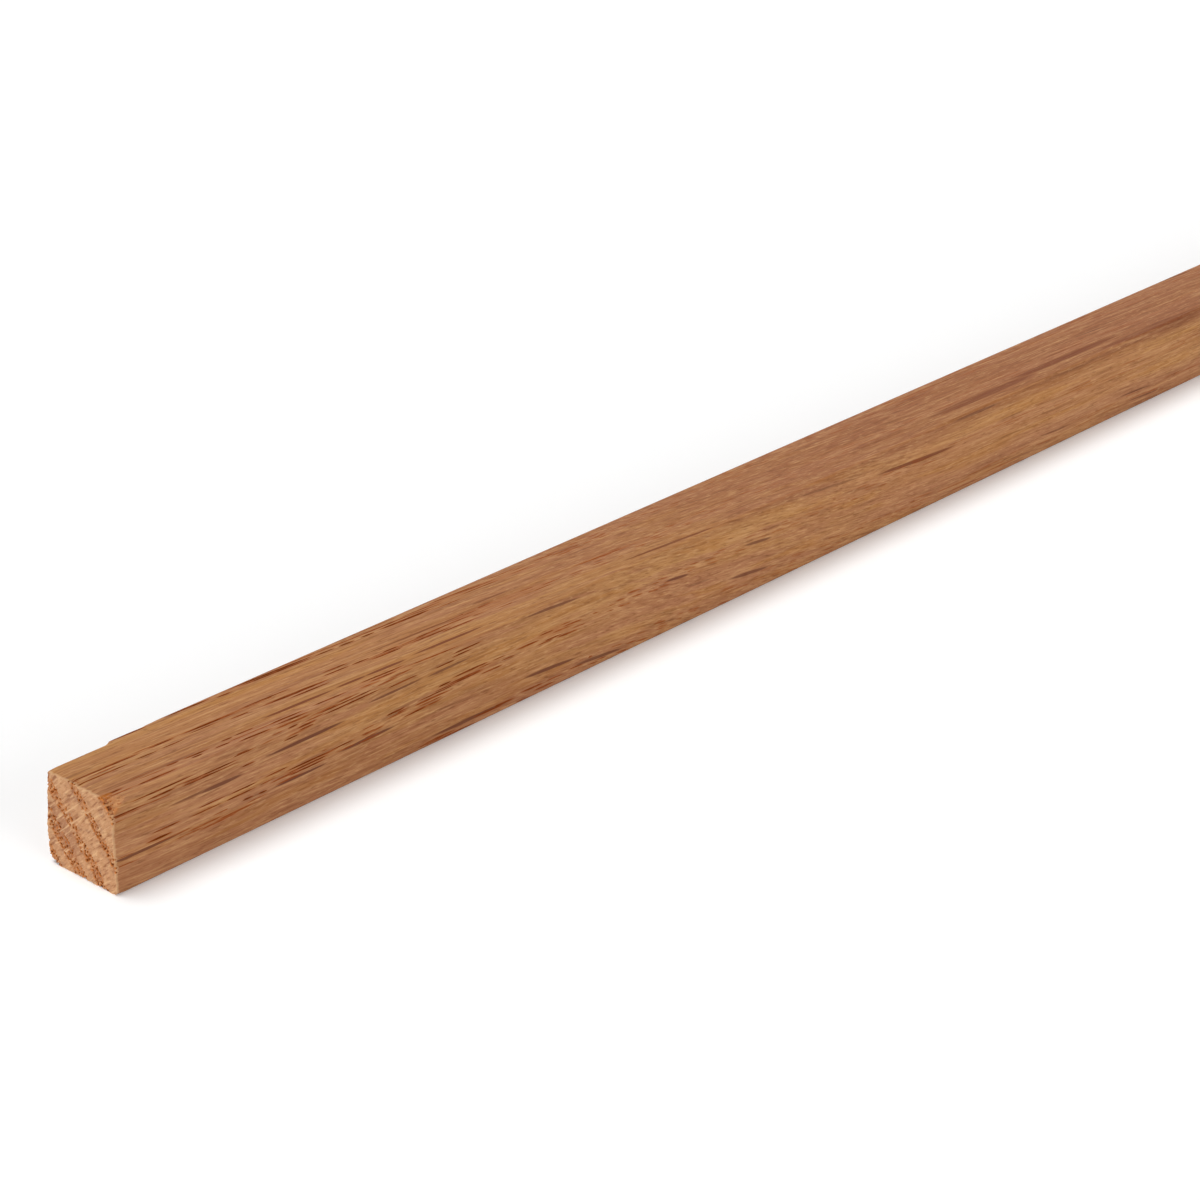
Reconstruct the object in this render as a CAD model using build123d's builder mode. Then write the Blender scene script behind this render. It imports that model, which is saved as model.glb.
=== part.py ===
"""Square dowel: one straight stick of red oak, planed square and sawn to length.

The stick lies along X with its underside on Z = 0 and its middle at the origin.
The end that shows the damage is at -X, and its back is towards +Y.
All sizes are in millimetres.
"""

import os

from build123d import *

# Stock size
SECTION = 12.7  # side of the planed square, half an inch
LENGTH = 914.4  # length it is sold in, three feet
ARRIS_RADIUS = 0.4  # how far sanding has eased the four long edges

# A splinter torn off the back top edge, starting at the damaged end.
# It lifted a thick sliver first, snapped off at a step, and then ran out thin.
TEAR_DEPTH_AT_END = 0.95  # how far in from the back it reaches across the top
TEAR_DEPTH_DEEP = 0.75
TEAR_DEPTH_SHALLOW = 0.40
TEAR_DEPTH_TAIL = 0.15
TEAR_DROP_AT_END = 8.5  # how far down the back it reaches
TEAR_DROP_DEEP = 5.5
TEAR_DROP_SHALLOW = 2.4
TEAR_DROP_TAIL = 0.9
TEAR_DEEP_LENGTH = 9.0
TEAR_STEP_LENGTH = 0.9
TEAR_SHALLOW_LENGTH = 5.5
TEAR_FADE_LENGTH = 3.0
TEAR_TAIL_LENGTH = 12.0
TEAR_STOP_LENGTH = 1.0

# The back bottom corner of the same end, knocked off
CHIP_WIDTH = 1.7
CHIP_HEIGHT = 1.0
CHIP_LENGTH = 3.0

# The front top corner of the same end, frayed away by the saw
FRAY_WIDTH = 1.9
FRAY_HEIGHT = 2.0
FRAY_LENGTH = 2.6

# How far a cut starts outside the stick, so that it leaves no skin behind
CUT_LAP = 0.5

BACK = 1
FRONT = -1
TOP = 1
BOTTOM = -1

DAMAGED_END = -LENGTH / 2


def corner_outline(side, edge, width, height, share=1.0):
    """Draw the triangle that a cut takes off one corner of the section.

    The long side crosses the top or underside `width` in from the corner and
    the front or back `height` from it. A `share` of 0 just touches the corner.
    """
    corner_y = side * SECTION / 2
    corner_z = SECTION if edge == TOP else 0.0
    reach_y = share * width + CUT_LAP * width / height
    reach_z = share * height + CUT_LAP * height / width
    Polyline(
        (corner_y - side * reach_y, corner_z + edge * CUT_LAP),
        (corner_y + side * CUT_LAP, corner_z + edge * CUT_LAP),
        (corner_y + side * CUT_LAP, corner_z - edge * reach_z),
        close=True,
    )


def tear_stations():
    """List the torn edge's sections as distance from the end, depth and drop."""
    spans = [
        (0.0, TEAR_DEPTH_AT_END, TEAR_DROP_AT_END),
        (TEAR_DEEP_LENGTH, TEAR_DEPTH_DEEP, TEAR_DROP_DEEP),
        (TEAR_STEP_LENGTH, TEAR_DEPTH_SHALLOW, TEAR_DROP_SHALLOW),
        (TEAR_SHALLOW_LENGTH, TEAR_DEPTH_SHALLOW, TEAR_DROP_SHALLOW),
        (TEAR_FADE_LENGTH, TEAR_DEPTH_TAIL, TEAR_DROP_TAIL),
        (TEAR_TAIL_LENGTH, TEAR_DEPTH_TAIL, TEAR_DROP_TAIL),
    ]
    stations = []
    along = 0.0
    for span, depth, drop in spans:
        along += span
        stations.append((along, depth, drop))
    return stations


# The stick
with BuildPart() as square_dowel:
    # Planed blank, sawn square at both ends
    with BuildSketch(Plane.YZ.offset(DAMAGED_END)):
        with Locations((0, SECTION / 2)):
            RectangleRounded(SECTION, SECTION, ARRIS_RADIUS)
    extrude(amount=LENGTH)

    # Torn back top edge
    torn = tear_stations()
    for along, depth, drop in torn:
        with BuildSketch(Plane.YZ.offset(DAMAGED_END + along)):
            with BuildLine():
                corner_outline(BACK, TOP, depth, drop)
            make_face()
    tail_end, tail_depth, tail_drop = torn[-1]
    with BuildSketch(Plane.YZ.offset(DAMAGED_END + tail_end + TEAR_STOP_LENGTH)):
        with BuildLine():
            corner_outline(BACK, TOP, tail_depth, tail_drop, share=0.0)
        make_face()
    loft(ruled=True, mode=Mode.SUBTRACT)

    # Knocked-off and frayed corners of the damaged end
    for side, edge, width, height, length in (
        (BACK, BOTTOM, CHIP_WIDTH, CHIP_HEIGHT, CHIP_LENGTH),
        (FRONT, TOP, FRAY_WIDTH, FRAY_HEIGHT, FRAY_LENGTH),
    ):
        for along, share in ((0.0, 1.0), (length, 0.0)):
            with BuildSketch(Plane.YZ.offset(DAMAGED_END + along)):
                with BuildLine():
                    corner_outline(side, edge, width, height, share)
                make_face()
        loft(ruled=True, mode=Mode.SUBTRACT)

square_dowel.part.label = "square_dowel"

os.makedirs("parts", exist_ok=True)
export_step(square_dowel.part, "parts/square_dowel.step")
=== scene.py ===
"""Square dowel: the finish, the fine relief and the studio for one stick of planed red oak.

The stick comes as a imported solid. It lies along X with its underside on Z = 0, its damaged
end is at -X and its back is towards +Y. Blender's lengths are in metres. Sizes of the wood
are given in millimetres, because that is how grain is measured.
"""

from __future__ import annotations

import logging
import math
from collections.abc import Mapping
from dataclasses import dataclass
from enum import Enum
from typing import Any, Optional, Self, Union

import bmesh
import bpy
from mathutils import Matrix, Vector

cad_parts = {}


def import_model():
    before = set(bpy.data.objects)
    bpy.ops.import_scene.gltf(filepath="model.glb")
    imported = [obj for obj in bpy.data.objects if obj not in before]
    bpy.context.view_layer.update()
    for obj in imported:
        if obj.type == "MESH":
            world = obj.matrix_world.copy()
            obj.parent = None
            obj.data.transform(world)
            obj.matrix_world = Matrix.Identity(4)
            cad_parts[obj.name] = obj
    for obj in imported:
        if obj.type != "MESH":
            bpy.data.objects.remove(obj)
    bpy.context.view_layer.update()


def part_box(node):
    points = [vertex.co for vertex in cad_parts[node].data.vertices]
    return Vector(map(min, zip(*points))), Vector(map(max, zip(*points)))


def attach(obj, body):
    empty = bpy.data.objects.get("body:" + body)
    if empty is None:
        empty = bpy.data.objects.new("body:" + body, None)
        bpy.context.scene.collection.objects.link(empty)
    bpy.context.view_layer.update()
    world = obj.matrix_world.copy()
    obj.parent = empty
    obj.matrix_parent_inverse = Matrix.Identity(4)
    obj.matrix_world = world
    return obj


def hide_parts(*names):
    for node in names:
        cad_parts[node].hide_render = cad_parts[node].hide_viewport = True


log = logging.getLogger("square_dowel")

MM = 0.001
NODE = "square_dowel"
BODY = "root"
MARGIN = 0.01 * MM

MATH = "ShaderNodeMath"
VECTOR_MATH = "ShaderNodeVectorMath"
MAP_RANGE = "ShaderNodeMapRange"
SEPARATE = "ShaderNodeSeparateXYZ"
SMOOTH = {"interpolation_type": "SMOOTHSTEP"}

Socket = bpy.types.NodeSocket
Feed = Union[float, str, tuple, Socket]
Span = tuple[float, float]
Triple = tuple[float, float, float]
Quad = tuple[float, float, float, float]


class Tone(Enum):
    """The colours of the wood and the studio, as sRGB hex values. Some of them are laid on as painted shade
    and painted highlights.
    """

    TAN = "ad7b48"
    ROSE = "a36d49"
    HONEY = "a66f38"
    RUSSET = "8a5230"
    LATE = "8c5531"
    GOLD = "bd8644"
    SHADE = "6e3d1c"
    PALE = "c89a68"
    RAY = "60301a"
    BAR = "662802"
    CROWDED = "9c5828"
    VESSEL = "8c4216"
    VESSEL_DEEP = "5e2a0c"
    END = "bb8960"
    END_BAND = "ac6832"
    END_GREY = "7c584c"
    END_PALE = "d2a87c"
    END_SHADE = "8a5230"
    PORE_RIM = "c0702c"
    # Painted shade in the middle of the end's open pores.
    PORE = "6a3214"
    FRESH = "b8895c"
    FLOOR = "f4f4f4"
    WHITE = "ffffff"

    @property
    def linear(self) -> Quad:
        """Return the colour as linear RGB with full alpha."""
        channels = [int(self.value[i : i + 2], 16) / 255 for i in (0, 2, 4)]
        red, green, blue = (
            c / 12.92 if c <= 0.04045 else ((c + 0.055) / 1.055) ** 2.4 for c in channels
        )
        return red, green, blue, 1.0


@dataclass(frozen=True)
class NodeBoard:
    """A node tree that nodes are added to: a material's, a world's or a modifier's."""

    tree: bpy.types.NodeTree

    @classmethod
    def blank(cls, owner: Union[bpy.types.Material, bpy.types.World], *fields: Any) -> Self:
        """Empty the tree of a material or a world, ready to be built anew.

        Args:
            owner: The material or world.
            *fields: The board's other fields.

        Returns:
            The board that holds its tree.
        """
        owner.use_nodes = True
        owner.node_tree.nodes.clear()
        return cls(owner.node_tree, *fields)

    def add(
        self, kind: str, feeds: Mapping[Union[int, str], Feed], out: Union[int, str] = 0, **settings: Any
    ) -> Optional[Socket]:
        """Add one node with its settings and links.

        Args:
            kind: The node's type name.
            feeds: What each input gets, by its name or number: a value or another node's output.
            out: The name or number of the output that is wanted.
            **settings: The node's own properties.

        Returns:
            The wanted output, or None for a node that has no outputs.
        """
        node = self.tree.nodes.new(kind)
        for name, value in settings.items():
            setattr(node, name, value)
        for key, feed in feeds.items():
            if isinstance(feed, Socket):
                self.tree.links.new(feed, node.inputs[key])
            else:
                node.inputs[key].default_value = feed
        return node.outputs[out] if node.outputs else None


class Face(Enum):
    """The faces that single streaks are measured on."""

    TOP = "top"
    FRONT = "front"
    END = "end"


class Figure(Enum):
    """What a single streak in the wood is."""

    RAY = "ray"
    BAR = "bar"
    VESSEL = "vessel"
    CROWD = "crowd of vessels"
    FRAY = "frayed vessels"
    GLOW = "glow"
    BLUSH = "blush"
    SHEEN = "sheen"

    @property
    def spreads(self) -> bool:
        """Tell whether it is a broad zone, which lies straight along the stick."""
        return self in (Figure.GLOW, Figure.BLUSH)


@dataclass(frozen=True)
class Streak:
    """One streak that stands out on a face, measured on that face in millimetres.

    Attributes:
        face: The face that shows it.
        figure: What it is.
        start: How far from the damaged end it starts. On the end itself, its radial start.
        end: How far from the damaged end it stops. On the end itself, its radial end.
        down: How far its middle is from the face's upper arris, which is the back one on top.
            On the end itself, its tangential place.
        width: How wide it is on the face.
        strength: How far it takes on its own colour, from 0 to 1.
    """

    face: Face
    figure: Figure
    start: float
    end: float
    down: float
    width: float = 0.25
    strength: float = 1.0


# The streaks of each face and kind. Each has its start, end and down, then its width and its strength
# where they aren't the usual ones. The vessel lines of the top are drawn a third wider than they
# measure, because they would hardly show otherwise
MEASURED: dict[tuple[Face, Figure], tuple[tuple[float, ...], ...]] = {
    (Face.FRONT, Figure.RAY): (
        (7.9, 20.6, 4.1, 0.45, 0.6), (13.0, 20.9, 4.22, 0.62, 0.8), (23.5, 38.5, 3.4, 0.55, 0.9),
        (41.0, 52.0, 2.45, 0.4, 0.75), (51.5, 60.5, 2.6, 0.4, 0.7), (-3.0, 11.5, 8.2, 0.45, 0.8),
        (19.5, 24.5, 7.9, 0.35, 0.5), (24.8, 34.8, 8.1, 0.4, 0.95), (36.0, 46.8, 7.4, 0.5, 0.95),
        (51.5, 68.0, 11.5, 0.6, 0.8), (69.5, 80.8, 9.6, 0.6, 0.8), (79.5, 90.5, 11.4, 0.55, 0.75),
        (70.0, 82.0, 0.8, 0.5, 0.7), (98.5, 104.0, 5.0, 0.5, 0.8), (102.5, 109.0, 7.3, 0.45, 0.5),
        (112.0, 122.0, 9.5, 0.6, 0.7), (115.5, 122.5, 5.2, 0.55, 0.7), (127.0, 143.0, 1.7, 0.5, 0.5),
        (165.0, 178.0, 0.5, 0.6, 0.6),
    ),
    (Face.FRONT, Figure.BAR): ((145.0, 168.0, 4.0, 0.7, 0.8),),
    (Face.TOP, Figure.BAR): (
        (-4.0, 17.0, 10.1, 0.8, 0.5), (-2.0, 4.5, 4.1, 0.5, 0.5), (26.0, 38.8, 10.0, 0.6, 1.0),
        (38.4, 44.0, 10.3, 0.55, 0.95), (43.0, 50.8, 10.6, 0.6, 1.0), (51.0, 65.0, 10.8, 0.6, 1.0),
        (46.0, 66.0, 6.2, 0.45, 0.7), (67.0, 75.5, 5.5, 0.5, 0.6), (90.0, 112.0, 11.5, 0.6, 0.75),
        (143.0, 159.0, 9.2, 1.5, 0.4), (161.0, 192.0, 9.8, 2.0, 0.62), (183.0, 216.0, 9.5, 1.7, 0.68),
        (203.0, 240.0, 12.0, 1.6, 0.6),
    ),
    (Face.TOP, Figure.VESSEL): (
        (-2.0, 11.3, 5.4, 0.33), (11.5, 16.2, 5.5, 0.33), (16.8, 25.8, 5.75, 0.39),
        (26.0, 35.3, 5.8, 0.26), (40.2, 44.8, 5.9, 0.33), (-2.0, 8.6, 6.55, 0.33),
        (8.8, 12.7, 6.6, 0.26), (12.8, 16.9, 6.7, 0.26), (17.3, 22.8, 6.2, 0.23),
        (23.7, 27.0, 6.95, 0.33), (28.4, 40.3, 7.42, 0.55), (32.2, 39.7, 8.2, 0.33),
        (39.5, 44.7, 6.67, 0.36), (44.3, 47.7, 6.9, 0.33), (49.6, 52.6, 7.15, 0.29),
        (55.2, 60.4, 7.3, 0.33), (46.7, 52.9, 7.75, 0.33), (53.7, 61.7, 8.0, 0.36),
        (18.0, 26.4, 0.55, 0.42), (9.7, 15.8, 0.6, 0.33), (26.6, 29.1, 1.2, 0.33),
        (28.4, 43.9, 0.85, 0.39), (30.0, 43.9, 1.22, 0.33), (42.8, 46.7, 1.5, 0.26),
        (46.9, 50.0, 1.72, 0.33), (50.8, 53.4, 1.85, 0.33), (53.4, 64.0, 2.1, 0.52),
        (-2.0, 3.8, 10.85, 0.39), (10.3, 12.5, 10.6, 0.33), (12.8, 17.2, 10.8, 0.33),
        (13.8, 15.7, 11.25, 0.33), (19.1, 21.0, 10.6, 0.33), (21.1, 24.5, 10.65, 0.33),
        (17.3, 20.0, 11.4, 0.33), (20.1, 26.1, 12.3, 0.33), (26.2, 32.0, 11.6, 0.33),
        (26.2, 32.0, 12.3, 0.33), (32.9, 39.3, 11.85, 0.33), (41.2, 49.7, 11.65, 0.36),
        (42.4, 47.6, 12.2, 0.36), (4.5, 11.4, 11.8, 0.39), (80.0, 103.0, 7.4, 0.28, 0.7),
    ),
    (Face.FRONT, Figure.VESSEL): (
        (2.5, 13.8, 1.25), (-2.0, 5.9, 2.2), (5.3, 10.4, 1.9, 0.3), (10.1, 20.7, 1.93, 0.22),
        (10.1, 20.7, 2.28, 0.2), (18.9, 22.2, 1.4, 0.2), (28.0, 30.0, 0.9), (27.2, 30.1, 2.35, 0.2),
        (20.3, 22.7, 3.25), (29.5, 33.2, 1.45, 0.3), (29.7, 32.6, 1.85), (32.2, 44.2, 0.8, 0.22),
        (32.4, 45.6, 1.25), (44.6, 51.0, 1.62), (53.6, 57.6, 1.9, 0.22), (56.6, 62.6, 1.0),
        (56.6, 60.6, 1.45, 0.22), (5.7, 10.9, 6.6), (4.8, 9.2, 7.55, 0.35), (12.9, 17.9, 6.1, 0.22),
        (18.0, 22.9, 6.2, 0.22), (11.6, 17.2, 6.78, 0.22), (17.2, 22.9, 6.85), (23.8, 28.2, 6.1, 0.22),
        (27.1, 35.3, 6.65), (27.1, 35.1, 7.03), (27.4, 34.7, 7.42), (20.2, 22.1, 7.85),
        (22.7, 24.4, 7.95), (34.8, 39.5, 6.6, 0.22), (47.3, 52.4, 6.75, 0.22), (49.8, 58.2, 5.45, 0.22),
        (44.6, 48.4, 5.4, 0.3), (56.4, 64.2, 4.4, 0.3), (54.1, 56.7, 4.75), (52.3, 63.7, 5.25, 0.22),
    ),
    (Face.TOP, Figure.CROWD): (
        (19.0, 44.0, 1.0, 1.1, 0.7), (4.0, 13.0, 11.8, 0.9, 0.8), (37.0, 50.0, 11.9, 1.0),
        (45.0, 62.0, 7.6, 1.3, 0.8), (60.0, 82.0, 7.4, 2.0), (84.0, 102.0, 7.4, 0.8),
        (58.0, 87.0, 1.9, 1.0),
    ),
    (Face.FRONT, Figure.CROWD): (
        (27.5, 33.0, 1.6, 1.4), (4.5, 9.5, 7.3, 1.4), (26.5, 35.0, 7.0, 1.2),
        (52.0, 67.0, 4.9, 1.6, 0.8), (72.0, 82.0, 4.4, 1.6),
    ),
    (Face.TOP, Figure.FRAY): ((-0.8, 2.0, 10.95, 1.2, 0.9),),
    (Face.FRONT, Figure.FRAY): ((-0.6, 1.6, 1.45, 1.2, 0.6),),
    (Face.END, Figure.SHEEN): (
        (-1.8, 7.6, 7.7, 0.22, 0.9), (-1.4, 10.0, 6.2, 0.24, 0.8), (4.2, 11.0, 3.4, 0.2, 0.6),
        (-3.0, 2.4, 9.4, 0.2, 0.6),
    ),
    (Face.END, Figure.BLUSH): ((-1.0, 3.2, 6.0, 9.0, 0.8),),
    (Face.TOP, Figure.GLOW): (
        (-30.0, 60.0, 2.8, 6.0, 0.7), (30.0, 60.0, 4.2, 1.6, 0.6),
    ),
    # The front is painted darker and redder towards the bottom.
    (Face.FRONT, Figure.BLUSH): ((10.0, 95.0, 10.0, 7.0, 0.33),),
    (Face.FRONT, Figure.GLOW): ((95.0, 300.0, 4.5, 9.0, 0.7),),
    (Face.TOP, Figure.BLUSH): ((55.0, 445.0, 6.0, 24.0, 0.7),),
}
STREAKS = [Streak(*group, *row) for group, rows in MEASURED.items() for row in rows]


@dataclass(frozen=True)
class OakGrain(NodeBoard):
    """How red oak is built inside: rings, vessels, rays and fibres, all in millimetres.

    They are drawn alike in the material and in the relief, so the shade painted into
    pores and the saw's grooves is as dark as they are deep.
    A place in the fibres is (along, Y, Z) as if they ran dead straight from the damaged end.
    A point of the grain is (radial, tangential, along), where radial is away from the tree's heart.
    """

    origin: Vector
    section: float
    outward: Span = (-0.775, 0.632)
    slope: Span = (-0.008, 0.034)
    bend_start: Span = (0.0, 60.0)
    bend_end: Span = (80.0, 170.0)
    bend: Span = (-1.8, 7.8)
    wander: float = 0.45
    wander_length: float = 45.0
    heart_distance: float = 120.0
    heart_offset: float = 3.0
    ring_width: float = 4.05
    first_ring: float = 6.9
    wide_ring: float = 2.4
    wide_ring_shift: float = 0.5
    wide_ring_reach: float = 2.5
    ring_waver: float = 0.3
    ring_waver_size: Triple = (9.0, 3.5, 32.0)
    early_share: float = 0.27
    early_fade: float = 0.09
    inner_share: float = 0.5
    inner_start: Span = (1.4, 2.2)
    vessel_spacing: float = 0.42
    vessel_scatter: float = 0.8
    vessel_radius: Span = (0.0825, 0.18)
    vessel_halo: float = 2.0
    open_size: Triple = (0.1, 0.1, 13.0)
    open_range: Span = (0.38, 0.44)
    crowded_size: Triple = (0.1, 0.1, 5.0)
    crowded_range: Span = (0.44, 0.5)
    spoke_size: Triple = (2.0, 0.45, 400.0)
    ray_pitch: Triple = (9.0, 1.9, 24.0)
    ray_half: Triple = (4.2, 0.17, 7.0)
    ray_edge: Span = (1.0, 0.3)
    vessel_depth: float = 0.6
    streak_depth: float = 3.0
    streak_edge: Span = (1.1, 0.65)
    zone_edge: Span = (1.3, 0.4)
    mark_edge: Span = (1.2, 0.6)

    @property
    def half_section(self) -> float:
        """Return half the section's width."""
        return self.section / 2

    @property
    def sideways(self) -> Span:
        """Return the tangential direction as (Y, Z)."""
        return self.outward[1], -self.outward[0]

    def course(self, along: float) -> Span:
        """Tell how far the fibres have strayed from straight at one place along the stick.

        Args:
            along: How far the place is from the damaged end.

        Returns:
            The shift in Y and in Z.
        """
        shift_y = shift_z = 0.0
        spans = zip(self.slope, self.bend_start, self.bend_end, self.bend, (self.outward, self.sideways))
        for slope, start, end, bend, (side_y, side_z) in spans:
            share = min(max((along - start) / (end - start), 0.0), 1.0)
            stray = slope * along + bend * share * share * (3 - 2 * share)
            shift_y += stray * side_y
            shift_z += stray * side_z
        return shift_y, shift_z

    def measured(self, place: Socket, height: float = 0.0) -> Socket:
        """Measure a place from the middle of the damaged end, in millimetres.

        Args:
            place: The place in metres.
            height: How far above the underside the measuring starts.

        Returns:
            The measured place.
        """
        start = self.origin + Vector((0.0, 0.0, height * MM))
        offset = self.add(VECTOR_MATH, {0: place, 1: tuple(start)}, operation="SUBTRACT")
        return self.add(VECTOR_MATH, {0: offset, "Scale": 1 / MM}, operation="SCALE")

    def fibre_place(self, size: Socket) -> Socket:
        """Turn a measured place into a place in the fibres, with their course straightened.

        Args:
            size: The place as it is measured.

        Returns:
            The place as (along, Y, Z).
        """
        along = self.add(SEPARATE, {0: size}, out="X")
        bent = self.add(
            MAP_RANGE,
            {
                6: along,
                7: (*self.bend_start, 0.0),
                8: (*self.bend_end, 1.0),
                9: (0.0, 0.0, 0.0),
                10: (*self.bend, 0.0),
            },
            out="Vector",
            data_type="FLOAT_VECTOR",
            **SMOOTH,
        )
        stray = self.add(
            VECTOR_MATH, {0: along, 1: (*self.slope, 0.0), 2: bent}, operation="MULTIPLY_ADD"
        )
        parts = self.add(SEPARATE, {0: stray}, out="X").node.outputs
        straight: Socket = size
        for part, direction in ((parts["X"], self.outward), (parts["Y"], self.sideways)):
            straight = self.add(
                VECTOR_MATH, {0: part, 1: (0.0, *direction), 2: straight}, operation="MULTIPLY_ADD"
            )
        return straight

    def grain_point(self, fibre: Socket) -> Socket:
        """Turn a place in the fibres into a point of the grain, which also wanders a little.

        Args:
            fibre: The place in the fibres.

        Returns:
            The point as (radial, tangential, along).
        """
        radial, tangential = (
            self.add(VECTOR_MATH, {0: fibre, 1: (0.0, *direction)}, out="Value", operation="DOT_PRODUCT")
            for direction in (self.outward, self.sideways)
        )
        along = self.add(SEPARATE, {0: fibre}, out="X")
        point = self.add("ShaderNodeCombineXYZ", {0: radial, 1: tangential, 2: along})
        step = self.add(MATH, {0: along, 1: self.wander_length}, operation="DIVIDE")
        drift = self.add(
            "ShaderNodeTexNoise",
            {"W": step, "Scale": 1.0, "Detail": 1.0},
            out="Color",
            noise_dimensions="1D",
        )
        centred = self.add(VECTOR_MATH, {0: drift, 1: (0.5, 0.5, 0.5)}, operation="SUBTRACT")
        sway = (2 * self.wander, 2 * self.wander, 0.0)
        return self.add(VECTOR_MATH, {0: centred, 1: sway, 2: point}, operation="MULTIPLY_ADD")

    def mottle(self, point: Socket, lengths: Triple, detail: float = 2.0) -> Socket:
        """Mottle the wood evenly, with blotches of one size.

        Args:
            point: The grain point.
            lengths: The size of a blotch along each axis of the grain.
            detail: How many finer layers lie within it.

        Returns:
            The mottle, around 0.5.
        """
        scale = tuple(1 / length for length in lengths)
        spot = self.add(VECTOR_MATH, {0: point, 1: scale}, operation="MULTIPLY")
        return self.add("ShaderNodeTexNoise", {"Vector": spot, "Scale": 1.0, "Detail": detail})

    def ring_share(self, point: Socket) -> Socket:
        """Tell how far through its year's ring a point lies.

        Args:
            point: The grain point.

        Returns:
            A number from 0, where spring growth starts, to 1, where the year ends.
        """
        radial = self.add(SEPARATE, {0: point}, out="X")
        tangential = radial.node.outputs["Y"]
        aside = self.add(MATH, {0: tangential, 1: self.heart_offset}, operation="SUBTRACT")
        squared = self.add(MATH, {0: aside, 1: aside}, operation="MULTIPLY")
        sag = self.add(MATH, {0: squared, 1: 2 * self.heart_distance}, operation="DIVIDE")
        curved = self.add(MATH, {0: radial, 1: sag}, operation="ADD")
        apart = self.add(MATH, {0: curved, 1: self.wide_ring}, operation="SUBTRACT")
        away = self.add(MATH, {0: apart}, operation="ABSOLUTE")
        late = self.add(
            MAP_RANGE, {0: away, 1: self.wide_ring_reach, 2: 0.0, 4: self.wide_ring_shift}, **SMOOTH
        )
        even = self.add(MATH, {0: curved, 1: late}, operation="ADD")
        waver = self.mottle(point, self.ring_waver_size)
        shifted = self.add(MATH, {0: waver, 1: 2 * self.ring_waver, 2: even}, operation="MULTIPLY_ADD")
        start = self.first_ring + self.ring_waver
        placed = self.add(MATH, {0: shifted, 1: start}, operation="SUBTRACT")
        count = self.add(MATH, {0: placed, 1: self.ring_width}, operation="DIVIDE")
        return self.add(MATH, {0: count}, operation="FRACT")

    def early_wood(self, point: Socket, share: Socket) -> Socket:
        """Mark the spring growth, the band of a ring that holds the large vessels.

        The band is broader in the innermost ring.

        Args:
            point: The grain point.
            share: How far through its ring the point lies.

        Returns:
            1 in the band and 0 outside.
        """
        radial = self.add(SEPARATE, {0: point}, out="X")
        inner, outer = self.inner_start
        stop = self.add(
            MAP_RANGE, {0: radial, 1: inner, 2: outer, 3: self.inner_share, 4: self.early_share}
        )
        left = self.add(MATH, {0: stop, 1: share}, operation="SUBTRACT")
        return self.add(MAP_RANGE, {0: left, 1: -self.early_fade, 2: 0.0}, **SMOOTH)

    def vessels(self, point: Socket, crowd: Socket) -> Socket:
        """Draw the large vessels: tubes along the grain, packed into the spring growth.

        Args:
            point: The grain point.
            crowd: 1 where vessels crowd together outside the spring growth as well.

        Returns:
            How near the point is to a vessel's middle: 1 there, 0.5 on its wall and 0 well outside.
        """
        distance = self.add(
            "ShaderNodeTexVoronoi",
            {"Vector": point, "Scale": 1 / self.vessel_spacing, "Randomness": self.vessel_scatter},
            out="Distance",
            voronoi_dimensions="2D",
        )
        middle = distance.node.outputs["Position"]
        lot = self.add(SEPARATE, {0: distance.node.outputs["Color"]})
        along = self.add(SEPARATE, {0: point}, out="Z")
        lift = self.add("ShaderNodeCombineXYZ", {2: along})
        centre = self.add(VECTOR_MATH, {0: middle, 1: lift}, operation="ADD")
        band = self.early_wood(centre, self.ring_share(centre))
        present: Feed = 0.0
        for where, lengths, (shut, full) in (
            (band, self.open_size, self.open_range),
            (crowd, self.crowded_size, self.crowded_range),
        ):
            run = self.mottle(centre, lengths, detail=0.0)
            opened = self.add(MAP_RANGE, {0: run, 1: shut, 2: full}, **SMOOTH)
            growing = self.add(MATH, {0: where, 1: opened}, operation="MULTIPLY")
            present = self.add(MATH, {0: present, 1: growing}, operation="MAXIMUM")
        narrow, wide = (size / self.vessel_spacing for size in self.vessel_radius)
        radius = self.add(MAP_RANGE, {0: lot, 3: narrow, 4: wide})
        reach = self.add(MATH, {0: distance, 1: radius}, operation="DIVIDE")
        nearness = self.add(MAP_RANGE, {0: reach, 1: self.vessel_halo, 2: 0.0})
        return self.add(MATH, {0: nearness, 1: present}, operation="MULTIPLY")

    def rays(self, point: Socket) -> Socket:
        """Scatter the broad rays: thin lenses that stand in radial planes.

        Args:
            point: The grain point.

        Returns:
            1 in the middle of a ray and 0 outside.
        """
        scale = tuple(1 / pitch for pitch in self.ray_pitch)
        spot = self.add(VECTOR_MATH, {0: point, 1: scale}, operation="MULTIPLY")
        middle = self.add(
            "ShaderNodeTexVoronoi", {"Vector": spot, "Scale": 1.0, "Randomness": 1.0}, out="Position"
        )
        apart = self.add(VECTOR_MATH, {0: spot, 1: middle}, operation="SUBTRACT")
        stretch = tuple(pitch / half for pitch, half in zip(self.ray_pitch, self.ray_half))
        shaped = self.add(VECTOR_MATH, {0: apart, 1: stretch}, operation="MULTIPLY")
        reach = self.add(VECTOR_MATH, {0: shaped}, out="Value", operation="LENGTH")
        start, full = self.ray_edge
        return self.add(MAP_RANGE, {0: reach, 1: start, 2: full}, **SMOOTH)

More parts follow.
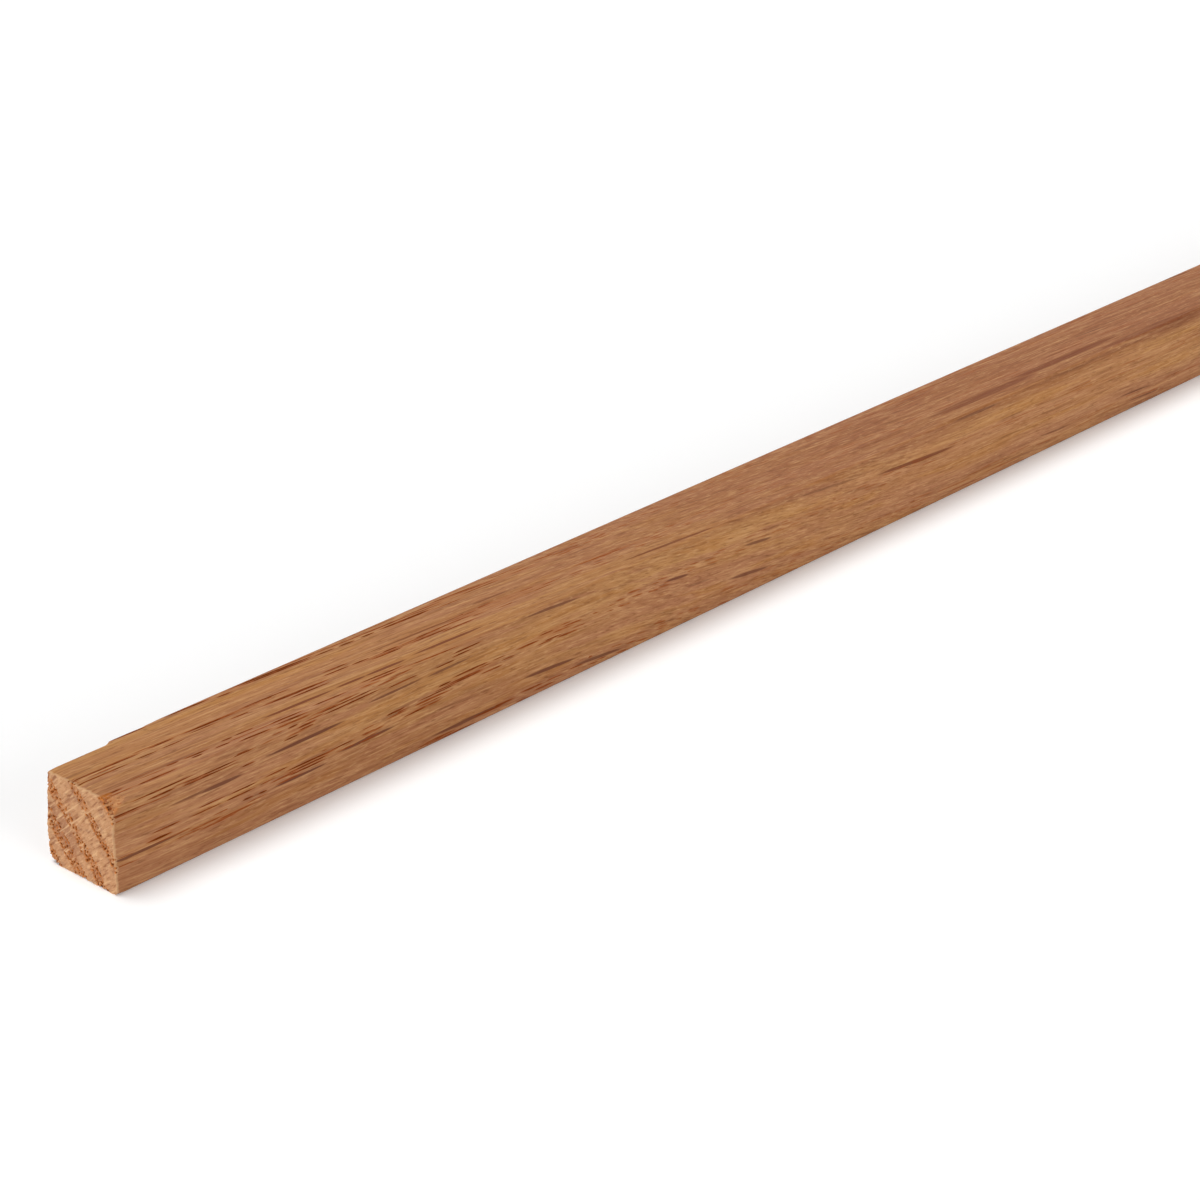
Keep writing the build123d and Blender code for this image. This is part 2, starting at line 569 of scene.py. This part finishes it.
    def lens(self, place: Socket, streak: Streak) -> Socket:
        """Draw one measured streak: a lens that lies along the fibres, or on the end along the rays.

        Args:
            place: The place in the fibres. For a broad zone it is the measured place, and for a
                streak on the end the grain point.
            streak: The streak.

        Returns:
            The streak's strength at the place, from 0 to 1.
        """
        along = (streak.start + streak.end) / 2
        run, girth = streak.end - along, streak.width / 2
        spreads = streak.figure.spreads
        start, full = self.zone_edge if spreads else self.streak_edge
        shift_y, shift_z = (0.0, 0.0) if spreads else self.course(along)
        depth = self.vessel_depth if streak.figure in (Figure.VESSEL, Figure.FRAY) else self.streak_depth
        if streak.face is Face.END:
            start, full = self.mark_edge
            centre, half = (along, streak.down, 0.0), (run, girth, math.inf)
        elif streak.face is Face.TOP:
            centre = (along, self.half_section - streak.down + shift_y, self.section + shift_z)
            half = (run, girth, depth)
        else:
            centre = (along, -self.half_section + shift_y, self.section - streak.down + shift_z)
            half = (run, depth, girth)
        scale = tuple(1 / size for size in half)
        back = tuple(-spot / size for spot, size in zip(centre, half))
        shaped = self.add(VECTOR_MATH, {0: place, 1: scale, 2: back}, operation="MULTIPLY_ADD")
        reach = self.add(VECTOR_MATH, {0: shaped}, out="Value", operation="LENGTH")
        return self.add(MAP_RANGE, {0: reach, 1: start, 2: full, 4: streak.strength}, **SMOOTH)

    def streaks(
        self, place: Socket, figure: Figure, faces: tuple[Face, ...] = (Face.TOP, Face.FRONT)
    ) -> Socket:
        """Draw the measured streaks of one kind.

        Args:
            place: The place, as lens() wants it.
            figure: The kind to draw.
            faces: The faces whose streaks are drawn.

        Returns:
            The strongest streak at the place, from 0 to 1.
        """
        strongest: Feed = 0.0
        for streak in STREAKS:
            if streak.figure is figure and streak.face in faces:
                cover = self.lens(place, streak)
                strongest = self.add(MATH, {0: strongest, 1: cover}, operation="MAXIMUM")
        return strongest


@dataclass(frozen=True)
class RedOakFinish(OakGrain):
    """Bare red oak, planed along and sawn across.

    Planing leaves it matt, with a faint sheen. The open vessels catch the eye as fine dark
    orange lines on the long faces and as pits in the end, and the rays as smooth grey flecks.
    Fibres are really about 0.02 mm thick. They are drawn ten times as coarse, because they
    wouldn't show otherwise.

    A blotch's size is along each axis of the grain, in millimetres. A ramp is where a value
    starts and stops to change and what it becomes there, in the order that Map Range takes them.
    """

    ior: float = 1.5
    specular: float = 0.2
    roughness: float = 0.62
    bump_depth: float = 0.06
    bump_thread: float = 0.6
    blotch: Triple = (6.0, 6.0, 60.0)
    warm: Triple = (1.6, 1.6, 40.0)
    strand: Triple = (0.55, 0.55, 26.0)
    thread: Triple = (0.22, 0.22, 7.0)
    speck: Triple = (0.4, 0.2, 1.6)
    member: Triple = (0.3, 0.3, 1.6)
    tatter: Triple = (0.3, 0.3, 0.8)
    patch: Triple = (1.2, 1.6, 400.0)
    fine_spoke: Triple = (0.7, 0.2, 400.0)
    vessel_wall: Span = (0.44, 0.72)
    beading: Quad = (0.35, 0.6, 0.65, 1.0)
    lines_appear: Quad = (42.0, 64.0, 0.7, 1.0)
    lines_fade: Quad = (60.0, 115.0, 1.0, 0.45)
    rays_appear: Quad = (150.0, 230.0, 0.35, 1.0)
    stain_fades: Quad = (0.4, 2.6, 0.8, 0.1)
    clumps: Quad = (0.42, 0.56, 0.3, 1.0)
    orange_clumps: Span = (0.48, 0.58)
    gap_shade_range: Span = (0.48, 0.36)

    def layered(self, base: Tone, layers: list[tuple[Tone, Socket, float, float, float]]) -> Socket:
        """Lay tones over a colour, one after the other.

        Args:
            base: The colour underneath.
            layers: For each tone its mask, the mask's values where it starts and is full, and its strength.

        Returns:
            The colour with all tones on it.
        """
        colour: Feed = base.linear
        for tone, mask, start, full, strength in layers:
            cover = self.add(MAP_RANGE, {0: mask, 1: start, 2: full, 4: strength}, **SMOOTH)
            colour = self.add(
                "ShaderNodeMix", {0: cover, 6: colour, 7: tone.linear}, out=2, data_type="RGBA"
            )
        return colour

    def lines(
        self, point: Socket, along: Socket, nearness: Socket, measured: Socket
    ) -> tuple[Socket, Socket]:
        """Draw the open vessels of the long faces as lines, beaded where one vessel member meets the next.

        Args:
            point: The grain point.
            along: How far the point is from the damaged end.
            nearness: How near it is to the middle of a vessel.
            measured: The measured vessel lines.

        Returns:
            The vessels that grow by the rings, and the measured ones.
        """
        member = self.mottle(point, self.member, detail=3.0)
        ramps = ((member, self.beading), (along, self.lines_appear), (along, self.lines_fade))
        beads, appearing, fading = (
            self.add(MAP_RANGE, dict(enumerate((value, *ramp)))) for value, ramp in ramps
        )
        wall, middle = self.vessel_wall
        grown = self.add(MAP_RANGE, {0: nearness, 1: wall, 2: middle}, **SMOOTH)
        for share in (beads, appearing, fading):
            grown = self.add(MATH, {0: grown, 1: share}, operation="MULTIPLY")
        return grown, self.add(MATH, {0: measured, 1: beads}, operation="MULTIPLY")

    def tatters(
        self, point: Socket, along: Socket, torn: Socket, fray: Socket
    ) -> tuple[Socket, Socket, Socket]:
        """Find the clumps of torn fibre and the gaps between them, where shade is painted.

        Args:
            point: The grain point.
            along: How far the point is from the damaged end.
            torn: 1 where wood is torn off.
            fray: The measured frayed places.

        Returns:
            The orange clumps of torn wood, those of frayed places, and the painted shade in the gaps of
            both.
        """
        tatter = self.mottle(point, self.tatter, detail=3.0)
        stain, clumped = (
            self.add(MAP_RANGE, dict(enumerate((value, *ramp))))
            for value, ramp in ((along, self.stain_fades), (tatter, self.clumps))
        )
        start, full = self.orange_clumps
        orange = self.add(MAP_RANGE, {0: tatter, 1: start, 2: full, 4: stain})
        start, full = self.gap_shade_range
        dark = self.add(MAP_RANGE, {0: tatter, 1: start, 2: full})
        loose = self.add(MATH, {0: torn, 1: fray}, operation="MAXIMUM")
        return tuple(
            self.add(MATH, {0: where, 1: clump}, operation="MULTIPLY")
            for where, clump in ((torn, orange), (fray, clumped), (loose, dark))
        )

    def build(self) -> None:
        """Build the material's tree."""
        size = self.measured(self.add("ShaderNodeTexCoord", {}, out="Object"))
        fibre = self.fibre_place(size)
        point = self.grain_point(fibre)
        along = self.add(SEPARATE, {0: fibre}, out="X")
        share = self.ring_share(point)
        band = self.early_wood(point, share)
        sheen = self.streaks(point, Figure.SHEEN, faces=(Face.END,))
        gloom = self.streaks(point, Figure.BLUSH, faces=(Face.END,))
        marks = {
            figure: self.streaks(size if figure.spreads else fibre, figure)
            for figure in Figure
            if figure is not Figure.SHEEN
        }
        nearness = self.vessels(point, marks[Figure.CROWD])
        vessel, line = self.lines(point, along, nearness, marks[Figure.VESSEL])
        scattered = self.add(MAP_RANGE, dict(enumerate((along, *self.rays_appear))))
        fleck = self.add(MATH, {0: self.rays(point), 1: scattered}, operation="MULTIPLY")
        blotch, warm, strand, thread, speck, patch = (
            self.mottle(point, lengths)
            for lengths in (self.blotch, self.warm, self.strand, self.thread, self.speck, self.patch)
        )
        spoke, fine_spoke = (
            self.mottle(point, lengths, detail=3.0) for lengths in (self.spoke_size, self.fine_spoke)
        )
        torn, sawn, rim = (
            self.add("ShaderNodeAttribute", {}, out="Fac", attribute_name=name)
            for name in ("torn", "sawn", "rim")
        )
        stained, ragged, gap_shade = self.tatters(point, along, torn, marks[Figure.FRAY])
        long_colour = self.layered(
            Tone.TAN,
            [
                (Tone.ROSE, blotch, 0.35, 0.6, 0.9),
                (Tone.ROSE, warm, 0.5, 0.65, 0.8),
                (Tone.HONEY, warm, 0.48, 0.36, 0.7),
                (Tone.GOLD, marks[Figure.GLOW], 0.0, 1.0, 0.35),
                (Tone.RUSSET, marks[Figure.BLUSH], 0.0, 0.9, 0.9),
                (Tone.LATE, share, 0.45, 1.0, 0.25),
                (Tone.ROSE, band, 0.0, 1.0, 0.4),
                (Tone.SHADE, strand, 0.5, 0.75, 0.45),
                (Tone.PALE, strand, 0.46, 0.3, 0.3),
                (Tone.PALE, thread, 0.52, 0.75, 0.45),
                (Tone.SHADE, thread, 0.48, 0.25, 0.45),
                (Tone.SHADE, speck, 0.44, 0.25, 0.55),
                (Tone.PALE, speck, 0.56, 0.76, 0.45),
                (Tone.CROWDED, marks[Figure.CROWD], 0.0, 1.0, 0.3),
                (Tone.FRESH, torn, 0.0, 1.0, 0.3),
                (Tone.END_BAND, stained, 0.0, 1.0, 0.6),
                (Tone.RAY, fleck, 0.0, 1.0, 0.75),
                (Tone.BAR, marks[Figure.BAR], 0.0, 1.0, 0.9),
                (Tone.RAY, marks[Figure.RAY], 0.0, 1.0, 0.95),
                (Tone.VESSEL, vessel, 0.0, 0.8, 0.9),
                (Tone.VESSEL, line, 0.0, 0.8, 0.95),
                (Tone.VESSEL_DEEP, vessel, 0.5, 1.0, 0.5),
                (Tone.VESSEL_DEEP, line, 0.5, 1.0, 0.8),
                # Painted highlight along the arrises round the damaged end.
                (Tone.END_PALE, rim, 0.8, 1.0, 0.6),
                (Tone.END_BAND, ragged, 0.0, 1.0, 0.85),
                # Painted shade in the gaps between clumps of torn fibre.
                (Tone.VESSEL, gap_shade, 0.0, 1.0, 0.75),
            ],
        )
        end_colour = self.layered(
            Tone.END,
            [
                (Tone.END_BAND, band, 0.0, 1.0, 0.5),
                (Tone.END_GREY, gloom, 0.0, 1.0, 0.4),
                (Tone.END_GREY, patch, 0.52, 0.7, 0.3),
                (Tone.END_BAND, gloom, 0.0, 1.0, 0.25),
                (Tone.END_PALE, patch, 0.48, 0.3, 0.35),
                # Painted shade in the saw's grooves and painted highlight on its ridges, over real streaks.
                (Tone.END_SHADE, spoke, 0.52, 0.7, 0.85),
                (Tone.END_PALE, spoke, 0.46, 0.32, 0.75),
                (Tone.END_PALE, fine_spoke, 0.54, 0.75, 0.45),
                (Tone.END_SHADE, fine_spoke, 0.46, 0.28, 0.5),
                # Painted highlight along the arrises round the damaged end.
                (Tone.END_PALE, rim, 0.8, 1.0, 0.5),
                (Tone.END_BAND, ragged, 0.0, 1.0, 0.7),
                (Tone.END_PALE, sheen, 0.0, 1.0, 0.75),
                (Tone.PORE_RIM, nearness, 0.16, 0.46, 0.85),
                # The middle of each open pore is painted dark: painted shade in the pit that the relief
                # also cuts.
                (Tone.PORE, nearness, 0.44, 0.64, 0.9),
            ],
        )
        colour = self.add(
            "ShaderNodeMix", {0: sawn, 6: long_colour, 7: end_colour}, out=2, data_type="RGBA"
        )
        pits = self.add(MATH, {0: vessel, 1: line}, operation="MAXIMUM")
        ridged = self.add(MATH, {0: thread, 1: self.bump_thread, 2: speck}, operation="MULTIPLY_ADD")
        height = self.add(MATH, {0: ridged, 1: pits}, operation="SUBTRACT")
        shader = self.add(
            "ShaderNodeBsdfPrincipled",
            {
                "Base Color": colour,
                "Roughness": self.roughness,
                "IOR": self.ior,
                "Specular IOR Level": self.add(MAP_RANGE, {0: pits, 3: self.specular, 4: 0.0}),
                "Normal": self.add("ShaderNodeBump", {"Distance": self.bump_depth * MM, "Height": height}),
            },
        )
        self.add("ShaderNodeOutputMaterial", {"Surface": shader})


@dataclass(frozen=True, kw_only=True)
class OakRelief(OakGrain):
    """The fine relief of the stick: torn fibres, and a saw's rough cut with open pores, in millimetres.

    Everything is cut inwards, so the stick keeps its size. The cuts at the ends fade along the
    stick and the notches in an end's outline fade into the end, so the surface never folds over.
    """

    length: float
    arris_radius: float = 0.4
    tear_depth: Span = (0.06, 0.2)
    long_side_normal: Span = (0.8, 0.5)
    pit: float = 0.3
    pit_wall: Span = (0.3, 0.7)
    planed_waver: float = 0.015
    planed_size: Triple = (0.25, 0.25, 6.0)
    torn_ridge: float = 0.4
    torn_size: Triple = (0.45, 0.45, 1.6)
    torn_range: Span = (0.35, 0.65)
    sawn_ridge: float = 0.2
    sawn_range: Span = (0.3, 0.75)
    sawn_fade: float = 1.6
    notch: float = 0.16
    notch_reach: float = 0.7
    notch_size: Triple = (0.9, 1.3, 2.0)
    notch_range: Span = (0.45, 0.7)

    def tear(self, size: Socket, facing: Socket, long_side: Socket) -> Socket:
        """Tell where wood is torn off: where a point lies inside the planed section.

        Args:
            size: The place from the middle of the end.
            facing: The surface's normal.
            long_side: 1 on the long faces and 0 on the ends, which don't count.

        Returns:
            1 where wood is torn off and 0 on the planed surface.
        """
        across = self.add(VECTOR_MATH, {0: size, 1: (0.0, 1.0, 1.0)}, operation="MULTIPLY")
        reach = self.add(VECTOR_MATH, {0: across, 1: facing}, out="Value", operation="DOT_PRODUCT")
        spread = self.add(VECTOR_MATH, {0: facing}, operation="ABSOLUTE")
        flat = self.half_section - self.arris_radius
        whole = self.add(
            VECTOR_MATH, {0: spread, 1: (0.0, flat, flat)}, out="Value", operation="DOT_PRODUCT"
        )
        missing = self.add(MATH, {0: whole, 1: reach}, operation="SUBTRACT")
        start, full = (depth - self.arris_radius for depth in self.tear_depth)
        gone = self.add(MAP_RANGE, {0: missing, 1: start, 2: full}, **SMOOTH)
        return self.add(MATH, {0: gone, 1: long_side}, operation="MULTIPLY")

    def side_depth(self, point: Socket, torn: Socket) -> Socket:
        """Work out how far a long face lies below its plain shape.

        Args:
            point: The grain point.
            torn: 1 where wood is torn off.

        Returns:
            The depth.
        """
        thread = self.mottle(point, self.planed_size)
        fibres = self.mottle(point, self.torn_size)
        planed = self.add(MATH, {0: thread, 1: self.planed_waver}, operation="MULTIPLY")
        low, high = self.torn_range
        ridge = self.add(MAP_RANGE, {0: fibres, 1: low, 2: high, 4: self.torn_ridge})
        return self.add(MATH, {0: ridge, 1: torn, 2: planed}, operation="MULTIPLY_ADD")

    def end_shift(self, size: Socket, point: Socket, vessel: Socket) -> tuple[Socket, Socket]:
        """Work out how the saw's cut shifts the surface at both ends.

        Args:
            size: The place from the middle of the damaged end.
            point: The grain point.
            vessel: 1 in an open vessel.

        Returns:
            The shift as a vector, and how near the place is to the rim of the damaged end.
        """
        spoke = self.mottle(point, self.spoke_size, detail=3.0)
        bite = self.mottle(point, self.notch_size)
        along = self.add(SEPARATE, {0: size}, out="X")
        left = self.add(MATH, {0: self.length, 1: along}, operation="SUBTRACT")
        near, far = (
            self.add(MAP_RANGE, {0: away, 1: self.sawn_fade, 2: 0.0}, **SMOOTH) for away in (along, left)
        )
        inwards = self.add(MATH, {0: near, 1: far}, operation="SUBTRACT")
        low, high = self.sawn_range
        cut = self.add(MAP_RANGE, {0: spoke, 1: low, 2: high, 4: self.sawn_ridge})
        depth = self.add(MATH, {0: vessel, 1: self.pit, 2: cut}, operation="MULTIPLY_ADD")
        sunk = self.add(MATH, {0: depth, 1: inwards}, operation="MULTIPLY")
        edge = self.half_section
        aside = self.add(VECTOR_MATH, {0: size}, operation="ABSOLUTE")
        rim = self.add(
            MAP_RANGE,
            {
                6: aside,
                7: (0.0, edge - self.notch_reach, edge - self.notch_reach),
                8: (1.0, edge, edge),
                9: (0.0, 0.0, 0.0),
                10: (0.0, 1.0, 1.0),
            },
            out="Vector",
            data_type="FLOAT_VECTOR",
            **SMOOTH,
        )
        side = self.add(VECTOR_MATH, {0: size}, operation="SIGN")
        outline = self.add(VECTOR_MATH, {0: rim, 1: side}, operation="MULTIPLY")
        low, high = self.notch_range
        notch = self.add(MAP_RANGE, {0: bite, 1: low, 2: high, 4: -self.notch})
        notched = self.add(MATH, {0: notch, 1: near}, operation="MULTIPLY")
        ragged = self.add(VECTOR_MATH, {0: outline, "Scale": notched}, operation="SCALE")
        lengthwise = self.add("ShaderNodeCombineXYZ", {0: sunk})
        shift = self.add(VECTOR_MATH, {0: ragged, 1: lengthwise}, operation="ADD")
        sides = self.add(SEPARATE, {0: rim}, out="Y").node.outputs
        nearest = self.add(MATH, {0: sides["Y"], 1: sides["Z"]}, operation="MAXIMUM")
        return shift, self.add(MATH, {0: nearest, 1: near}, operation="MULTIPLY")

    def build(self) -> None:
        """Build the modifier's tree.

        It also leaves attributes that say where the wood is torn, where it is sawn, and where the
        rim of the damaged end is.
        """
        self.tree.is_modifier = True
        for direction in ("INPUT", "OUTPUT"):
            self.tree.interface.new_socket("Geometry", in_out=direction, socket_type="NodeSocketGeometry")
        stick = self.add("NodeGroupInput", {})
        place = self.add("GeometryNodeInputPosition", {})
        facing = self.add("GeometryNodeInputNormal", {})
        size = self.measured(place, height=self.half_section)
        fibre = self.fibre_place(self.measured(place))
        point = self.grain_point(fibre)
        nearness = self.vessels(point, self.streaks(fibre, Figure.CROWD))
        turned = self.add(VECTOR_MATH, {0: facing}, operation="ABSOLUTE")
        end_on = self.add(SEPARATE, {0: turned})
        vessel, long_side = (
            self.add(MAP_RANGE, {0: value, 1: start, 2: full}, **SMOOTH)
            for value, (start, full) in ((nearness, self.pit_wall), (end_on, self.long_side_normal))
        )
        torn = self.tear(size, facing, long_side)
        depth = self.side_depth(point, torn)
        inwards = self.add(MATH, {0: depth, 1: long_side}, operation="MULTIPLY")
        across = self.add(VECTOR_MATH, {0: facing, 1: (0.0, -1.0, -1.0)}, operation="MULTIPLY")
        sunk = self.add(VECTOR_MATH, {0: across, "Scale": inwards}, operation="SCALE")
        sawn = self.add(MATH, {0: 1.0, 1: long_side}, operation="SUBTRACT")
        shift, rim = self.end_shift(size, point, vessel)
        both = self.add(VECTOR_MATH, {0: sunk, 1: shift}, operation="ADD")
        offset = self.add(VECTOR_MATH, {0: both, "Scale": MM}, operation="SCALE")
        kept = stick
        for name, value in (("torn", torn), ("sawn", sawn), ("rim", rim)):
            kept = self.add(
                "GeometryNodeStoreNamedAttribute",
                {"Geometry": kept, "Name": name, "Value": value},
                data_type="FLOAT",
                domain="POINT",
            )
        shaped = self.add("GeometryNodeSetPosition", {"Geometry": kept, "Offset": offset})
        self.add("NodeGroupOutput", {0: shaped})


def end_foot(low: Vector, high: Vector) -> Vector:
    """Return the middle of the damaged end's lower edge, from the corners of the stick's box."""
    return Vector((low.x, (low.y + high.y) / 2, low.z))


def add_object(name: str, data: bpy.types.ID) -> bpy.types.Object:
    """Add an object to the scene.

    Args:
        name: What it is called.
        data: Its mesh, camera or light.

    Returns:
        The object.
    """
    added = bpy.data.objects.new(name, data)
    bpy.context.scene.collection.objects.link(added)
    return added


@dataclass(frozen=True)
class SquareDowel:
    """The stick itself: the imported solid's shape, cut into a fine net near the ends and given relief.

    Pitches are the net's widths across the stick, and steps are its rows' lengths along it. The
    rows are shortest at the damaged end, and each is longer than the last up to a limit.
    """

    low: Vector
    high: Vector
    fine_length: float = 0.08
    pitch: float = 0.115 * MM
    row_step: float = 0.2 * MM
    row_growth: float = 1.03
    row_limit: float = 1.2 * MM
    middle_pitch: float = 1.6 * MM
    middle_step: float = 0.006
    far_length: float = 0.004
    far_pitch: float = 0.2 * MM
    far_step: float = 1 * MM
    weld: float = 0.001 * MM
    flat_angle: float = math.radians(1.0)
    smooth_angle: float = math.radians(50)

    def net(self) -> bpy.types.Object:
        """Copy the solid's mesh, join its loose triangles and cut it into a net.

        Returns:
            The net, in the place of the solid.
        """
        mesh = bpy.data.objects[NODE].data.copy()
        piece = add_object("square_dowel_oak", mesh)
        bpy.ops.object.select_all(action="DESELECT")
        piece.select_set(True)
        bpy.context.view_layer.objects.active = piece
        bpy.ops.mesh.customdata_custom_splitnormals_clear()
        bpy.ops.object.mode_set(mode="EDIT")
        bpy.ops.mesh.select_all(action="SELECT")
        bpy.ops.mesh.remove_doubles(threshold=self.weld)
        bpy.ops.mesh.select_all(action="SELECT")
        bpy.ops.mesh.dissolve_limited(angle_limit=self.flat_angle)
        near = self.low.x + self.fine_length
        far = self.high.x - self.far_length
        for x in (near, far):
            self.cut(Vector((x, 0, 0)), Vector((1, 0, 0)))
        zones = (
            (near, far, self.middle_pitch, self.middle_step),
            (far, self.high.x, self.far_pitch, self.far_step),
        )
        for start, stop, pitch, step in zones:
            self.show_only(piece, start, stop)
            self.slices(start, stop, 1, pitch)
            self.slices(start, stop, 2, pitch)
            self.slices(start, stop, 0, step)
        self.show_only(piece, self.low.x, near)
        self.slices(self.low.x, near, 1, self.pitch)
        self.slices(self.low.x, near, 2, self.pitch)
        x = self.low.x
        step = self.row_step
        while x + step < near:
            x += step
            step = min(step * self.row_growth, self.row_limit)
            self.cut(Vector((x, 0, 0)), Vector((1, 0, 0)))
        bpy.ops.mesh.reveal(select=False)
        bpy.ops.object.mode_set(mode="OBJECT")
        return piece

    def cut(self, place: Vector, normal: Vector) -> None:
        """Cut all shown faces along a plane."""
        bpy.ops.mesh.select_all(action="SELECT")
        bpy.ops.mesh.bisect(plane_co=place, plane_no=normal)

    def slices(self, start: float, stop: float, axis: int, step: float) -> None:
        """Cut the shown faces into even slices along one axis.

        Args:
            start: Where the shown faces start along X.
            stop: Where they stop along X.
            axis: The axis to slice along.
            step: The wanted thickness of a slice.
        """
        low, high = (start, stop) if axis == 0 else (self.low[axis], self.high[axis])
        count = round((high - low) / step)
        normal = Vector((0, 0, 0))
        normal[axis] = 1
        for index in range(1, count):
            place = Vector((0, 0, 0))
            place[axis] = low + (high - low) * index / count
            self.cut(place, normal)

    def show_only(self, piece: bpy.types.Object, start: float, stop: float) -> None:
        """Hide all faces but those between two places along X.

        Args:
            piece: The piece in edit mode.
            start: Where the shown faces start.
            stop: Where they stop.
        """
        bpy.ops.mesh.reveal(select=False)
        bpy.ops.mesh.select_all(action="DESELECT")
        bpy.ops.mesh.select_mode(type="FACE")
        net = bmesh.from_edit_mesh(piece.data)
        for face in net.faces:
            face.select_set(start - MARGIN < face.calc_center_median().x < stop + MARGIN)
        bmesh.update_edit_mesh(piece.data)
        bpy.ops.mesh.hide(unselected=True)

    def build(self) -> bpy.types.Object:
        """Build the stick.

        Returns:
            The finished piece.
        """
        origin = end_foot(self.low, self.high)
        section = (self.high.z - self.low.z) / MM
        length = (self.high.x - self.low.x) / MM
        piece = self.net()
        tree = bpy.data.node_groups.new("oak_relief", "GeometryNodeTree")
        OakRelief(tree, origin, section, length=length).build()
        relief = piece.modifiers.new("oak_relief", "NODES")
        relief.node_group = tree
        bpy.ops.object.modifier_apply(modifier=relief.name)
        bpy.ops.object.shade_smooth_by_angle(angle=self.smooth_angle)
        material = bpy.data.materials.new("red_oak_bare")
        RedOakFinish.blank(material, origin, section).build()
        piece.data.materials.clear()
        piece.data.materials.append(material)
        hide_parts(NODE)
        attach(piece, BODY)
        return piece


@dataclass(frozen=True)
class Studio:
    """A white floor, plain soft light, and the camera that looks at the damaged end."""

    low: Vector
    high: Vector
    camera_from_foot_mm: Triple = (-197.7, -265.3, 187.8)
    heading: float = math.radians(42.463)
    pitch: float = math.radians(24.898)
    lens_mm: float = 93.17
    sensor_mm: float = 36.0
    clip: Span = (0.01, 100.0)
    floor_size: float = 40.0
    floor_glow: float = 0.12
    even_light: float = 0.15
    lamps: tuple[tuple[str, Triple, float, float], ...] = (
        ("key", (-0.1, 0.24, 0.966), 1.98, 30.0),
        ("front", (0.0, -0.966, 0.259), 1.45, 40.0),
        ("side", (-0.978, 0.0, 0.208), 2.04, 50.0),
    )

    def camera(self) -> None:
        """Set up the camera."""
        data = bpy.data.cameras.new("camera")
        data.sensor_fit = "HORIZONTAL"
        data.sensor_width = self.sensor_mm
        data.lens = self.lens_mm
        data.clip_start, data.clip_end = self.clip
        camera = add_object("camera", data)
        foot = end_foot(self.low, self.high)
        camera.location = foot + Vector(self.camera_from_foot_mm) * MM
        level = math.cos(self.pitch)
        gaze = (level * math.cos(self.heading), level * math.sin(self.heading), -math.sin(self.pitch))
        camera.rotation_euler = Vector(gaze).to_track_quat("-Z", "Y").to_euler()
        bpy.context.scene.camera = camera

    def seen(self, board: NodeBoard) -> Socket:
        """Tell whether the camera sees a place, straight or in gloss or glass.

        Args:
            board: The tree to add to.

        Returns:
            1 where it does and 0 for other rays.
        """
        shown = board.add("ShaderNodeLightPath", {}, out="Is Camera Ray")
        paths = shown.node.outputs
        for path in ("Is Glossy Ray", "Is Transmission Ray"):
            shown = board.add(MATH, {0: shown, 1: paths[path]}, operation="MAXIMUM")
        return shown

    def floor(self) -> None:
        """Lay the floor, matt white paper that reads as white and keeps the stick's shadow."""
        bpy.ops.object.select_all(action="DESELECT")
        bpy.ops.mesh.primitive_plane_add(size=self.floor_size, location=(0, 0, self.low.z))
        floor = bpy.context.active_object
        floor.name = "floor"
        material = bpy.data.materials.new("studio_floor")
        board = NodeBoard.blank(material)
        lift = board.add(MATH, {0: self.seen(board), 1: self.floor_glow}, operation="MULTIPLY")
        paint = board.add("ShaderNodeBsdfDiffuse", {"Color": Tone.FLOOR.linear})
        glow = board.add("ShaderNodeEmission", {"Color": Tone.WHITE.linear, "Strength": lift})
        both = board.add("ShaderNodeAddShader", {0: paint, 1: glow})
        board.add("ShaderNodeOutputMaterial", {"Surface": both})
        floor.data.materials.append(material)

    def world(self) -> None:
        """Light the scene evenly from all round, and show white to the camera."""
        world = bpy.data.worlds.new("studio")
        board = NodeBoard.blank(world)
        level = board.add(MAP_RANGE, {0: self.seen(board), 3: self.even_light, 4: 1.0})
        light = board.add("ShaderNodeBackground", {"Color": Tone.WHITE.linear, "Strength": level})
        board.add("ShaderNodeOutputWorld", {"Surface": light})
        bpy.context.scene.world = world

    def lamp(self, name: str, source: Triple, strength: float, spread: float) -> None:
        """Add a soft lamp that lights the whole stick evenly.

        Args:
            name: What the lamp is called.
            source: The direction that its light comes from.
            strength: Its strength.
            spread: How wide it is seen from the stick, in degrees.
        """
        data = bpy.data.lights.new(name, "SUN")
        data.energy = strength
        data.angle = math.radians(spread)
        lamp = add_object(name, data)
        lamp.rotation_euler = Vector(source).to_track_quat("Z", "Y").to_euler()

    def build(self) -> None:
        """Set up the whole studio."""
        self.floor()
        self.world()
        for lamp in self.lamps:
            self.lamp(*lamp)
        self.camera()
        bpy.context.scene.view_settings.view_transform = "Standard"


def main() -> None:
    """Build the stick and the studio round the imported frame."""
    logging.basicConfig(level=logging.INFO, format="%(name)s: %(message)s")
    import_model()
    low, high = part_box(NODE)
    piece = SquareDowel(low, high).build()
    log.info("%s: %d faces", piece.name, len(piece.data.polygons))
    Studio(low, high).build()


if __name__ == "__main__":
    main()
